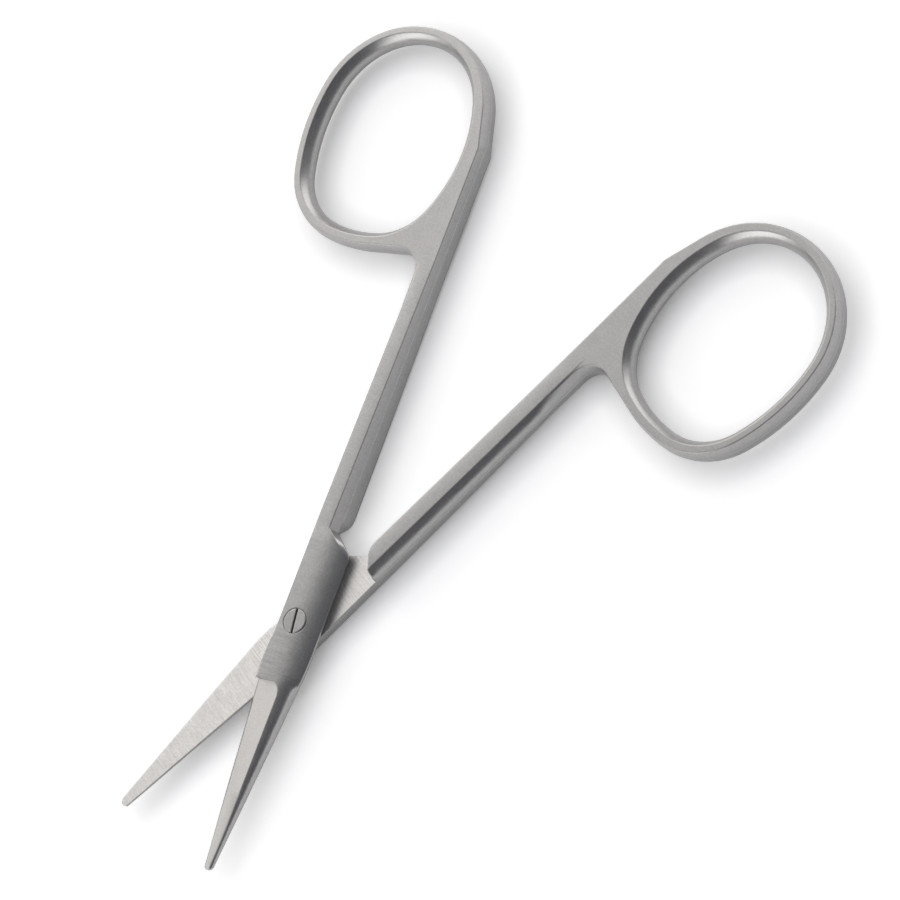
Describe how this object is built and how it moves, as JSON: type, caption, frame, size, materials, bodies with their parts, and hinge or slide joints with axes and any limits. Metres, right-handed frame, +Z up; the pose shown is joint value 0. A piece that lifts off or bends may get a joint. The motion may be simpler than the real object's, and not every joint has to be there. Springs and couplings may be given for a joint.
{
  "type": "iris scissors",
  "caption": "Straight fine-pointed iris scissors with finger rings on slim shanks, joined by a flush slotted pivot screw, lying partly open.",
  "frame": {"origin": "pivot axis at the underside of the joint, the plane that the scissors lie on", "axes": "+Z up along the pivot axis, +Y from the pivot to the finger rings midway between the halves, +X towards the ring of the lower half"},
  "size_m": [0.0898, 0.108, 0.0048],
  "materials": {
    "satin_steel": "satin, fine grinding marks",
    "screw_steel": "turned and faced flush with the halves"
  },
  "bodies": {
    "lower": {"lower_half": "satin_steel", "pivot_screw": "screw_steel"},
    "upper": {"upper_half": "satin_steel"}
  },
  "joints": [
    {"name": "pivot", "type": "hinge", "parent": "lower", "child": "upper", "pos_m": [0, 0, 0.00242], "axis": [0, 0, 1], "range_deg": [-29.6, 45]}
  ]
}
